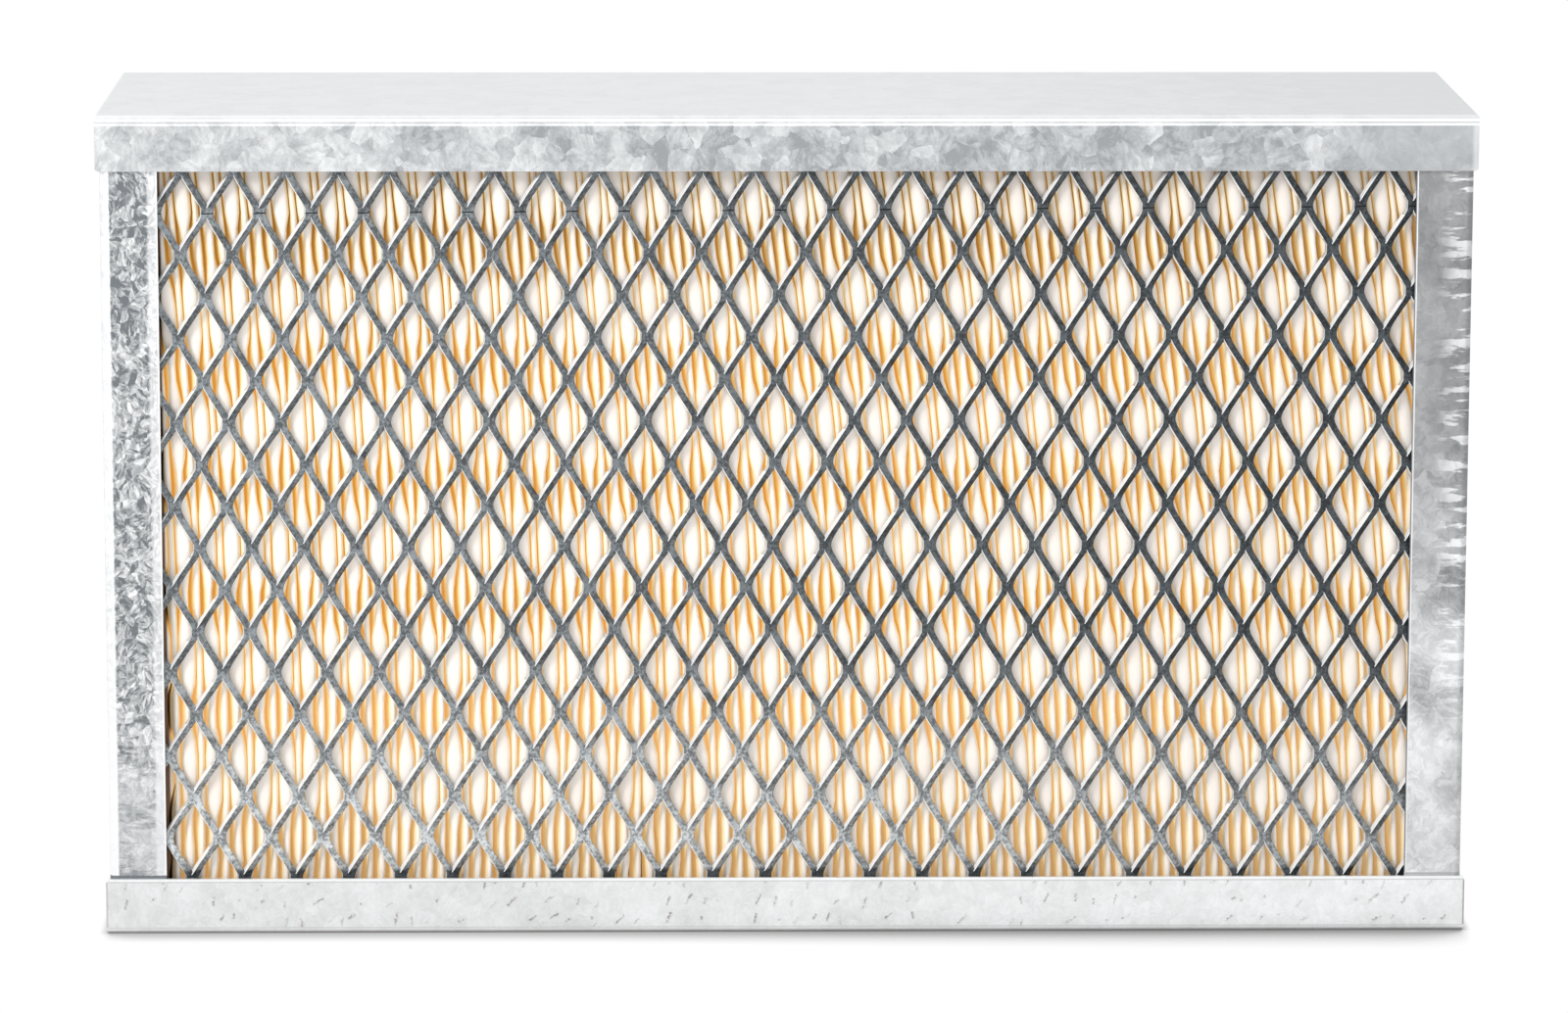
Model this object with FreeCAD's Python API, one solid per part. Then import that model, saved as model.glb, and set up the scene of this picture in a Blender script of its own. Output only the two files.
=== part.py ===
"""Panel air filter: a folded sheet frame, two expanded screens and a pleated paper pack.

+Z is up, the inlet face looks towards -Y and the part stands on Z = 0, centred in X and Y.
All lengths are in millimetres.
"""

import itertools
import math
import os

import FreeCAD
import Part

Vec = FreeCAD.Vector

# Overall sizes
WIDTH = 333.0
HEIGHT = 202.0
DEPTH = 95.0
GASKET_THICKNESS = 6.0

# Folded sheet frame
SHEET = 0.9
CAP_LIP = 13.8
CAP_END_TAB = 11.2
CAP_FOLD_RADIUS = 1.1
CAP_CORNER_RADIUS = 0.9
SIDE_LIP = 13.9
SIDE_FOLD_RADIUS = 1.6

# Expanded screens: one node of each mesh lies at node_x, node_z, and the rim is behind the lips
SCREEN_DEPTH = 2.8
SCREEN_SIDE_CLEARANCE = 0.8
SCREEN_RIM = 1.0
FRONT_MESH = {"pitch_x": 12.7, "pitch_z": 20.57, "strand": 1.7, "node_x": -1.3, "node_z": 96.5}
REAR_MESH = {"pitch_x": 25.4, "pitch_z": 41.0, "strand": 2.4, "node_x": 6.35, "node_z": 6.5}

# Pleated paper pack
PLEAT_PITCH = 2.93
PAPER = 0.6
FOLD_DEPTH = 0.9
SEALANT_BED = 5.0
GLUE_STRIP = 1.5

# Gasket ring on the outlet face
GASKET_WIDTH = 10.0

# Planes that follow from the sizes
FRONT = -DEPTH / 2
REAR = DEPTH / 2 - GASKET_THICKNESS
SIDE_FACE = WIDTH / 2 - SHEET
SIDE_INNER = SIDE_FACE - SHEET
FLOOR = SHEET
CEILING = HEIGHT - SHEET
WINDOW_X = SIDE_FACE - SIDE_LIP
WINDOW_LOW = CAP_LIP
WINDOW_HIGH = HEIGHT - CAP_LIP
FRONT_RIDGE = FRONT + 2 * SHEET
FRONT_FLAT = FRONT_RIDGE + SCREEN_DEPTH
REAR_RIDGE = REAR - 2 * SHEET
REAR_FLAT = REAR_RIDGE - SCREEN_DEPTH
PACK_X = SIDE_INNER - GLUE_STRIP
PACK_LOW = FLOOR + SEALANT_BED
PACK_HIGH = CEILING - SEALANT_BED


def block(x_range, y_range, z_range):
    """Return the box between two limits on each axis."""
    low, high = zip(x_range, y_range, z_range)
    size = [b - a for a, b in zip(low, high)]
    return Part.makeBox(size[0], size[1], size[2], Vec(*low))


def round_edges(shape, radius, chosen):
    """Return the shape with a fillet on each edge for which chosen(start, end) is true."""
    edges = [e for e in shape.Edges if len(e.Vertexes) == 2]
    return shape.makeFillet(radius, [e for e in edges if chosen(*(v.Point for v in e.Vertexes))])


def both_at(axis, place):
    """Return a test that is true for an edge whose two ends lie at one place on an axis."""
    return lambda a, b: abs(a[axis] - place) < 1e-6 and abs(b[axis] - place) < 1e-6


def upright_at(x):
    """Return a test that is true for an upright edge at one place on the X axis."""
    return lambda a, b: both_at(0, x)(a, b) and abs(a.y - b.y) < 1e-6


def mirrored_x(shape):
    """Return the copy on the other side of the part's middle plane."""
    return shape.mirror(Vec(0, 0, 0), Vec(1, 0, 0))


def mirrored_z(shape):
    """Return the copy on the other side of half height."""
    return shape.mirror(Vec(0, 0, HEIGHT / 2), Vec(0, 0, 1))


def face_of(points):
    """Return the flat face inside a closed outline."""
    return Part.Face(Part.makePolygon(list(points) + [points[0]]))


def top_cap():
    """Fold a pan over the top: web, front lip, rear lip and two shorter end tabs."""
    half = WIDTH / 2
    pan = round_edges(
        block((-half, half), (FRONT, REAR), (WINDOW_HIGH, HEIGHT)), CAP_FOLD_RADIUS, both_at(2, HEIGHT)
    )
    lip_foot = 2 * WINDOW_HIGH - HEIGHT
    pan = pan.cut(block((-SIDE_FACE, SIDE_FACE), (FRONT + SHEET, REAR - SHEET), (lip_foot, CEILING)))
    tab_end = HEIGHT - CAP_END_TAB
    pan = pan.cut(block((-WIDTH, WIDTH), (FRONT + SHEET, REAR - SHEET), (lip_foot, tab_end)))
    low, side = both_at(2, WINDOW_HIGH), lambda a, b: abs(a.x - b.x) < 1e-6 and abs(a.x) > SIDE_FACE
    return round_edges(pan, CAP_CORNER_RADIUS, lambda a, b: low(a, b) and side(a, b))


def right_side_channel():
    """Fold a channel that stands between the caps, with its lips behind theirs."""
    span = (FLOOR, CEILING)
    outer = block((WINDOW_X, SIDE_FACE), (FRONT + SHEET, REAR - SHEET), span)
    outer = round_edges(outer, SIDE_FOLD_RADIUS, upright_at(SIDE_FACE))
    inner = block((WINDOW_X - 1, SIDE_INNER), (FRONT_RIDGE, REAR_RIDGE), span)
    return outer.cut(round_edges(inner, SIDE_FOLD_RADIUS - SHEET, upright_at(SIDE_INNER)))


def lattice_lines(first, step, low, high):
    """Return the places first + i * step that lie between two limits, with their numbers i."""
    numbers = range(math.ceil((low - first) / step), math.floor((high - first) / step) + 1)
    return [(i, first + i * step) for i in numbers]


def inset(outline, distance):
    """Move each side of a convex outline, which runs clockwise in X and Z, inwards."""
    sides = []
    for (x0, z0), (x1, z1) in zip(outline, outline[1:] + outline[:1]):
        length = math.hypot(x1 - x0, z1 - z0)
        nx, nz = (z1 - z0) / length, (x0 - x1) / length
        sides.append((nx, nz, nx * x0 + nz * z0 + distance))
    corners = []
    for (a, b, c), (d, e, f) in zip(sides[-1:] + sides[:-1], sides):
        cross = a * e - b * d
        corners.append(((c * e - b * f) / cross, (a * f - c * d) / cross))
    return corners


def openings(mesh, half_x):
    """Return outline and hole of each whole or halved opening that shows between the lips."""
    reach_x, reach_z = mesh["pitch_x"] / 2, mesh["pitch_z"] / 2
    columns = lattice_lines(mesh["node_x"], reach_x, SCREEN_RIM - half_x, half_x - SCREEN_RIM)
    rows = lattice_lines(mesh["node_z"], reach_z, FLOOR + SCREEN_RIM, CEILING - SCREEN_RIM)
    pairs = []
    for (i, x), (k, z) in itertools.product(columns, rows):
        left, right = max(x - reach_x, columns[0][1]), min(x + reach_x, columns[-1][1])
        low, high = max(z - reach_z, rows[0][1]), min(z + reach_z, rows[-1][1])
        corners = [c for c in ((left, z), (x, high), (right, z), (x, low)) if c != (x, z)]
        if (i + k) % 2 == 0 or len(corners) < 3:
            continue
        outline = [(round(u, 6), round(w, 6)) for u, w in corners]
        hole = inset(outline, mesh["strand"] / 2)
        across, up = zip(*hole)
        shows = min(across) < WINDOW_X and max(across) > -WINDOW_X
        if shows and min(up) < WINDOW_HIGH and max(up) > WINDOW_LOW:
            pairs.append((outline, hole))
    return pairs


def rim_outline(outlines):
    """Chain the sides that only one opening has into the closed outline of them all."""
    sides = {}
    for outline in outlines:
        for start, end in zip(outline, outline[1:] + outline[:1]):
            key = frozenset((start, end))
            if key in sides:
                del sides[key]
            else:
                sides[key] = (start, end)
    follow = dict(sides.values())
    outline = [min(follow)]
    while follow[outline[-1]] != outline[0]:
        outline.append(follow[outline[-1]])
    return outline


def screen(mesh, ridge_y, flat_y):
    """Build a screen whose strands rise from a flat side to a ridge between the openings."""
    half_x = SIDE_INNER - SCREEN_SIDE_CLEARANCE
    outlines, holes = zip(*openings(mesh, half_x))
    border = [(-half_x, FLOOR), (half_x, FLOOR), (half_x, CEILING), (-half_x, CEILING)]

    def at(points, y):
        return [Vec(x, y, z) for x, z in points]

    def pierced(outlines, y):
        wires = [Part.makePolygon(at(o, y) + at(o[:1], y)) for o in outlines]
        return Part.makeFace(wires, "Part::FaceMakerBullseye")

    faces = [pierced([border, rim_outline(outlines)], ridge_y), pierced([border, *holes], flat_y)]
    for upper, lower in [(border, border), *zip(outlines, holes)]:
        ridge, flat = at(upper, ridge_y), at(lower, flat_y)
        for i in range(len(ridge)):
            faces.append(face_of([ridge[i - 1], ridge[i], flat[i], flat[i - 1]]))
    shell = Part.makeShell(faces)
    shell.sewShape()
    solid = Part.makeSolid(shell)
    if solid.Volume < 0:
        solid.reverse()
    return solid


def pleated_media():
    """Fold the paper to and fro between the screens, with flat crests on both sides."""
    count = round(2 * PACK_X / PLEAT_PITCH)
    pitch = 2 * PACK_X / count
    valley, inner_crest = REAR_FLAT - FOLD_DEPTH, FRONT_FLAT + FOLD_DEPTH
    front_side, rear_side = [], []
    for i in range(count):
        left = -PACK_X + i * pitch
        crest = left + pitch / 2
        front_side += [(left, valley), (crest - PAPER, FRONT_FLAT), (crest + PAPER, FRONT_FLAT)]
        rear_side += [(left + PAPER, REAR_FLAT), (crest, inner_crest), (left + pitch - PAPER, REAR_FLAT)]
    front_side.append((PACK_X, valley))
    outline = front_side + [(PACK_X, REAR_FLAT)] + rear_side[::-1] + [(-PACK_X, REAR_FLAT)]
    return face_of([Vec(x, y, PACK_LOW) for x, y in outline]).extrude(Vec(0, 0, PACK_HIGH - PACK_LOW))


def main():
    """Write one file for each piece of the part."""
    cap = top_cap()
    channel = right_side_channel()
    bed = block((-SIDE_INNER, SIDE_INNER), (FRONT_FLAT, REAR_FLAT), (PACK_HIGH, CEILING))
    glue = block((PACK_X, SIDE_INNER), (FRONT_FLAT, REAR_FLAT), (PACK_LOW, PACK_HIGH))
    ring_x = WINDOW_X + GASKET_WIDTH
    gasket_top = block((-ring_x, ring_x), (REAR, DEPTH / 2), (WINDOW_HIGH, WINDOW_HIGH + GASKET_WIDTH))
    gasket_right = block((WINDOW_X, ring_x), (REAR - SHEET, DEPTH / 2), (WINDOW_LOW, WINDOW_HIGH))
    pieces = {
        "top_cap": cap,
        "bottom_cap": mirrored_z(cap),
        "left_side_channel": mirrored_x(channel),
        "right_side_channel": channel,
        "front_screen": screen(FRONT_MESH, FRONT_RIDGE, FRONT_FLAT),
        "rear_screen": screen(REAR_MESH, REAR_RIDGE, REAR_FLAT),
        "pleated_media": pleated_media(),
        "top_sealant_bed": bed,
        "bottom_sealant_bed": mirrored_z(bed),
        "left_glue_strip": mirrored_x(glue),
        "right_glue_strip": glue,
        "gasket_top": gasket_top,
        "gasket_bottom": mirrored_z(gasket_top),
        "gasket_left": mirrored_x(gasket_right),
        "gasket_right": gasket_right,
    }
    os.makedirs("parts", exist_ok=True)
    for name, shape in pieces.items():
        shape.exportStep("parts/" + name + ".step")


main()
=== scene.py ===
"""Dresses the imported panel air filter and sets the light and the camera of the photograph.

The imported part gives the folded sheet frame, the sealant and the gasket. This file gives them
their finishes and makes the expanded screens and the embossed, pleated paper in full detail.
Sizes in the classes are in millimetres. Meshes, and numbers inside a node tree, are in metres.
"""

from __future__ import annotations

import functools
import logging
import math
from collections.abc import Iterable
from dataclasses import dataclass, field
from enum import Enum
from typing import Any

import bmesh
import bpy
import numpy as np
from mathutils import Matrix, Vector

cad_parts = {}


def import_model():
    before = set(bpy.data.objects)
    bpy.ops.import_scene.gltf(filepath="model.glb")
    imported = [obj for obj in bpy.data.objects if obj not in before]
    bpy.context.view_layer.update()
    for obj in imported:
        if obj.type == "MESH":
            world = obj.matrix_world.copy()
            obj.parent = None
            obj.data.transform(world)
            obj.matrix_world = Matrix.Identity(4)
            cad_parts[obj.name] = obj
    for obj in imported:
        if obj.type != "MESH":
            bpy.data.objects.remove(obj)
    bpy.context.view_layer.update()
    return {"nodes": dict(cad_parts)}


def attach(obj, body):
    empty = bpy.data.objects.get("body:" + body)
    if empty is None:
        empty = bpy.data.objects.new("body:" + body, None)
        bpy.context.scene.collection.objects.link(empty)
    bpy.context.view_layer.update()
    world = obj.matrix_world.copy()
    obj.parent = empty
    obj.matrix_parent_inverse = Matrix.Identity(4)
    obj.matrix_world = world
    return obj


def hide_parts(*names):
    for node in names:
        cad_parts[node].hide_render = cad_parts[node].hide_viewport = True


LOG = logging.getLogger("air_filter")
MM = 0.001
NUMBER, VECTOR = "NodeSocketFloat", "NodeSocketVector"
Rgb = tuple[float, float, float]
Range = tuple[float, float]
Material, Mesh, Object = bpy.types.Material, bpy.types.Mesh, bpy.types.Object
NodeTree, Node, Socket = bpy.types.NodeTree, bpy.types.Node, bpy.types.NodeSocket
BLACK: Rgb = (0.0, 0.0, 0.0)

# Places that several classes share
FRONT_LIP = (-45.0, -45.8)
PAPER_FRONT, PAPER_REAR = -42.9, 36.9
PAPER_HALF_WIDTH = 163.2
PAPER_LOW, PAPER_HIGH = 5.9, 196.1
SCREEN_LOW, SCREEN_HIGH = 0.9, 201.1


def linear(red: int, green: int, blue: int) -> Rgb:
    """Turn a screen colour into the linear colour that a shader works with.

    Args:
        red: Red from 0 to 255.
        green: Green from 0 to 255.
        blue: Blue from 0 to 255.

    Returns:
        The three linear values from 0 to 1.
    """
    parts = (value / 255 for value in (red, green, blue))
    return tuple(p / 12.92 if p <= 0.04045 else ((p + 0.055) / 1.055) ** 2.4 for p in parts)


class Side(Enum):
    """The two faces of the filter, with the direction of their outward normal along Y."""

    INLET = -1
    OUTLET = 1


class Axis(Enum):
    """The axes that the tone of a sheet changes along."""

    ACROSS = 0
    UP = 2


class Tree:
    """A short way to fill one node tree."""

    def __init__(self, tree: NodeTree) -> None:
        """Keep the tree that the nodes go into."""
        self.tree = tree

    def put(self, node: Node, key: Any, value: Any) -> None:
        """Fill one input of a node.

        Args:
            node: The node.
            key: Name or number of the input.
            value: A socket to link, or a value to set.
        """
        if isinstance(value, Socket):
            self.tree.links.new(value, node.inputs[key])
        else:
            node.inputs[key].default_value = value

    def add(self, kind: str, inputs: dict[Any, Any] | None = None, **settings: Any) -> Node:
        """Add a node, set its options and fill its inputs.

        Args:
            kind: The node's type name.
            inputs: Values or sockets for the inputs, by name or number.
            settings: Options of the node itself.

        Returns:
            The new node.
        """
        node = self.tree.nodes.new(kind)
        for name, value in settings.items():
            setattr(node, name, value)
        for key, value in (inputs or {}).items():
            self.put(node, key, value)
        return node

    def math(self, operation: str, *values: Any, clamp: bool = False) -> Socket:
        """Return the result of a Math node on up to three values or sockets."""
        inputs = dict(enumerate(values))
        return self.add("ShaderNodeMath", inputs, operation=operation, use_clamp=clamp).outputs[0]

    def plus(self, first: Any, *others: Any) -> Socket:
        """Return the sum of two or more values."""
        return functools.reduce(functools.partial(self.math, "ADD"), others, first)

    def minus(self, first: Any, second: Any) -> Socket:
        """Return the first value less the second."""
        return self.math("SUBTRACT", first, second)

    def times(self, first: Any, *others: Any) -> Socket:
        """Return the product of two or more values."""
        return functools.reduce(functools.partial(self.math, "MULTIPLY"), others, first)

    def size(self, value: Any) -> Socket:
        """Return a value without its sign."""
        return self.math("ABSOLUTE", value)

    def vector(self, operation: str, *values: Any) -> Socket:
        """Return the result of a Vector Math node on two vectors."""
        return self.add("ShaderNodeVectorMath", dict(enumerate(values)), operation=operation).outputs[0]

    def scaled(self, vector: Any, factor: Any) -> Socket:
        """Return a vector times a number."""
        return self.add("ShaderNodeVectorMath", {0: vector, 3: factor}, operation="SCALE").outputs[0]

    def combine(self, x: Any = 0.0, y: Any = 0.0, z: Any = 0.0) -> Socket:
        """Return the vector that has these three parts."""
        return self.add("ShaderNodeCombineXYZ", {0: x, 1: y, 2: z}).outputs[0]

    def split(self, vector: Any) -> tuple[Socket, ...]:
        """Return the three parts of a vector."""
        return tuple(self.add("ShaderNodeSeparateXYZ", {0: vector}).outputs)

    def channels(self, colour: Any) -> tuple[Socket, ...]:
        """Return the three parts of a colour."""
        return tuple(self.add("ShaderNodeSeparateColor", {0: colour}).outputs)

    def span(self, value: Any, low: Any, high: Any, to_low: Any = 0.0, to_high: Any = 1.0) -> Socket:
        """Return a value carried smoothly from one range to another, held at both ends."""
        inputs = {"Value": value, "From Min": low, "From Max": high, "To Min": to_low, "To Max": to_high}
        return self.add("ShaderNodeMapRange", inputs, interpolation_type="SMOOTHSTEP").outputs["Result"]

    def ramp(self, place: Any, ends: Range, to_low: Any = 0.0, to_high: Any = 1.0) -> Socket:
        """Return what goes smoothly from one value to another between two places in millimetres."""
        return self.span(place, ends[0] * MM, ends[1] * MM, to_low, to_high)

    def mix(self, factor: Any, first: Any, second: Any) -> Socket:
        """Blend two colours."""
        first, second = ((*c, 1.0) if isinstance(c, tuple) else c for c in (first, second))
        return self.add("ShaderNodeMix", {0: factor, 6: first, 7: second}, data_type="RGBA").outputs[2]

    def mix_value(self, factor: Any, first: Any, second: Any) -> Socket:
        """Blend two values."""
        return self.add("ShaderNodeMix", {0: factor, 2: first, 3: second}).outputs[0]

    def stored(self, name: str) -> Socket:
        """Return a stored number of a mesh in a Geometry Nodes tree."""
        return self.add("GeometryNodeInputNamedAttribute", {"Name": name}, data_type="FLOAT").outputs[0]

    def painted(self, name: str) -> Socket:
        """Return a stored number of a mesh in a shader."""
        return self.add("ShaderNodeAttribute", attribute_name=name, attribute_type="GEOMETRY").outputs["Fac"]

    def noise(self, vector: Any, scale: Any, detail: float = 3.0, roughness: float = 0.5) -> Socket:
        """Return the value of a Noise Texture, around 0.5."""
        inputs = {"Vector": vector, "Scale": scale, "Detail": detail, "Roughness": roughness}
        return self.add("ShaderNodeTexNoise", inputs).outputs["Fac"]

    def seen(self) -> Socket:
        """Return 1 for a ray that shows a surface itself, and 0 for one that carries its light."""
        path, rays = self.add("ShaderNodeLightPath").outputs, ("Camera", "Glossy", "Transmission")
        return functools.reduce(functools.partial(self.math, "MAXIMUM"), [path[f"Is {ray} Ray"] for ray in rays])


def new_group(name: str, inputs: dict[str, str], outputs: tuple[str, ...]) -> tuple[Any, Tree, Any, Any]:
    """Start a shader node group with named inputs and outputs.

    Args:
        name: Name of the group.
        inputs: Socket type of each input, by name.
        outputs: Names of the outputs, which are all numbers.

    Returns:
        The group, its filler, the sockets that come in and the output node.
    """
    group = bpy.data.node_groups.new(name, "ShaderNodeTree")
    for names, direction in ((inputs, "INPUT"), (dict.fromkeys(outputs, NUMBER), "OUTPUT")):
        for socket, kind in names.items():
            group.interface.new_socket(socket, in_out=direction, socket_type=kind)
    tree = Tree(group)
    return group, tree, tree.add("NodeGroupInput").outputs, tree.add("NodeGroupOutput")


class Effects:
    """The shader groups that several finishes share, each built once."""

    FEATHER_STRETCH = (1.3, 5.5, 1.8)
    SPLINTER_STRETCH = (1.1, 3.6, 2.2)
    SCRATCH_HALF_WIDTH = 0.5 * MM
    SCRATCH_WOBBLE = 1.2 * MM
    SCRATCH_TURN = (-1.3, 0.15)

    def __init__(self) -> None:
        """Build the groups."""
        self.spangle = self._spangle()
        self.speckle = self._speckle()
        self.scratches = self._scratches()

    def _spangle(self) -> NodeTree:
        """Build the zinc crystals: patches of even tone, feathered streaks and sharp splinters.

        Returns:
            The group, with one mask for each of the three.
        """
        inputs = {"Vector": VECTOR, "Size": NUMBER, "Warp": NUMBER}
        group, t, into, out = new_group("zinc_spangle", inputs, ("Patch", "Feather", "Shard"))
        scaled = t.scaled(into["Vector"], t.math("DIVIDE", 1.0, into["Size"]))
        rough = t.add("ShaderNodeTexNoise", {"Vector": scaled, "Scale": 1.3, "Detail": 4.0}).outputs["Color"]
        push = t.scaled(t.vector("SUBTRACT", rough, (0.5, 0.5, 0.5)), into["Warp"])
        warped = t.vector("ADD", scaled, push)
        cell = t.add("ShaderNodeTexVoronoi", {"Vector": warped, "Scale": 1.0})
        first, patch, second = t.channels(cell.outputs["Color"])
        turn = t.times(first, math.tau)
        angles = t.combine(turn, t.times(second, math.tau), turn)
        inputs = {"Vector": warped, "Rotation": angles}
        turned = t.add("ShaderNodeVectorRotate", inputs, rotation_type="EULER_XYZ").outputs[0]
        streaks = t.noise(t.vector("MULTIPLY", turned, self.FEATHER_STRETCH), 1.0, 3.0, 0.55)
        inputs = {"Vector": t.vector("MULTIPLY", turned, self.SPLINTER_STRETCH), "Scale": 1.0}
        tint = t.channels(t.add("ShaderNodeTexVoronoi", inputs).outputs["Color"])[0]
        t.put(out, "Patch", patch)
        t.put(out, "Feather", t.span(streaks, 0.36, 0.66))
        t.put(out, "Shard", t.span(tint, 0.2, 0.9))
        return group

    def _speckle(self) -> NodeTree:
        """Build a fine two-scale speckle for grain, pores and handling marks.

        Returns:
            The group.
        """
        group, t, into, out = new_group("fine_speckle", {"Vector": VECTOR, "Grain": NUMBER}, ("Value",))
        scale = t.math("DIVIDE", 1.0, into["Grain"])
        fine = t.noise(into["Vector"], scale, 2.0, 0.6)
        coarse = t.noise(into["Vector"], t.times(scale, 0.21), 2.0, 0.5)
        t.put(out, "Value", t.plus(t.times(fine, 0.6), t.times(coarse, 0.4)))
        return group

    def _scratches(self) -> NodeTree:
        """Build scattered short scratches, mostly rising to the right, on faces that look along Y.

        Returns:
            The group.
        """
        inputs = {"Vector": VECTOR, "Spacing": NUMBER, "Length": NUMBER}
        group, t, into, out = new_group("short_scratches", inputs, ("Mask",))
        place, scale = into["Vector"], t.math("DIVIDE", 1.0, into["Spacing"])
        cell = t.add("ShaderNodeTexVoronoi", {"Vector": place, "Scale": scale}).outputs
        turn, longer, present = t.channels(cell["Color"])
        inputs = {
            "Vector": t.vector("SUBTRACT", place, cell["Position"]),
            "Angle": t.math("MULTIPLY_ADD", turn, *self.SCRATCH_TURN),
        }
        across, _, along = t.split(t.add("ShaderNodeVectorRotate", inputs, rotation_type="Y_AXIS").outputs[0])
        rough = t.noise(place, 1500.0, 2.0)
        wobble = t.times(t.minus(rough, 0.5), self.SCRATCH_WOBBLE)
        thin = t.span(t.size(t.plus(across, wobble)), self.SCRATCH_HALF_WIDTH, 0.0)
        reach = t.times(into["Length"], t.plus(longer, 0.25))
        within = t.span(t.size(along), reach, t.times(reach, 0.6))
        t.put(out, "Mask", t.times(thin, t.span(rough, 0.3, 0.6), within, t.span(present, 0.5, 0.8)))
        return group


class Surface:
    """A material in the making, with its Principled shader and Object coordinates."""

    def __init__(self, name: str, effects: Effects) -> None:
        """Start the material.

        Args:
            name: Name of the material.
            effects: The shared shader groups.
        """
        self.effects = effects
        self.material = bpy.data.materials.new(name)
        self.material.use_nodes = True
        self.tree = Tree(self.material.node_tree)
        self.shader = next(n for n in self.material.node_tree.nodes if n.type == "BSDF_PRINCIPLED")
        self.place = self.tree.add("ShaderNodeTexCoord").outputs["Object"]

    def effect(self, group: NodeTree, **values: Any) -> Any:
        """Add a shared effect at the Object coordinates, fill its other inputs and return its outputs."""
        return self.tree.add("ShaderNodeGroup", {"Vector": self.place, **values}, node_tree=group).outputs

    def speckle(self, grain: float) -> Socket:
        """Add the fine speckle, with its grain in millimetres."""
        return self.effect(self.effects.speckle, Grain=grain * MM)[0]

    def feed(self, values: dict[str, Any]) -> None:
        """Fill the shader's inputs, by name."""
        for name, value in values.items():
            self.tree.put(self.shader, name, value)

    def bump(self, height: Any, strength: float, distance: float) -> None:
        """Feed a height into the shader's normal.

        Args:
            height: Socket with the height.
            strength: Strength of the Bump node.
            distance: Height of a full step in millimetres.
        """
        inputs = {"Height": height, "Strength": strength, "Distance": distance * MM}
        self.feed({"Normal": self.tree.add("ShaderNodeBump", inputs).outputs[0]})


@dataclass(frozen=True)
class Finish:
    """What a piece is dressed in."""

    name: str

    def build(self, effects: Effects) -> Material:
        """Make the material.

        Args:
            effects: The shared shader groups.

        Returns:
            The material.
        """
        look = Surface(self.name, effects)
        self.paint(look, look.tree)
        return look.material

    def paint(self, look: Surface, t: Tree) -> None:
        """Fill the material."""
        raise NotImplementedError


@dataclass(frozen=True)
class Zone:
    """A part of a sheet with its own tone, which sets in over a soft edge along one axis.

    Some zones are painted highlights on bends and edges, or thin painted shadows where the sheet meets
    another part; the others only change the tone. A zone keeps a share of the sheet's relief, and its
    tone may drift to the right. It may hold on the front lip only, and only above a height.
    """

    axis: Axis
    edge: Range
    tone: float = 0.0
    keep: float = 0.0
    drift: float = 0.0
    lip_only: bool = False
    above: float = 0.0

    FADE_UP = 60.0

    def weight(self, t: Tree, place: tuple[Socket, ...]) -> Socket:
        """Find how far a point lies inside the zone.

        Args:
            t: Filler of the material.
            place: The three parts of the point's place.

        Returns:
            A value from 0 to 1.
        """
        inside = t.ramp(place[self.axis.value], self.edge)
        if self.lip_only:
            inside = t.times(inside, t.ramp(place[1], FRONT_LIP))
        if self.above:
            inside = t.times(inside, t.ramp(place[2], (self.above, self.above + self.FADE_UP)))
        return inside


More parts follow.
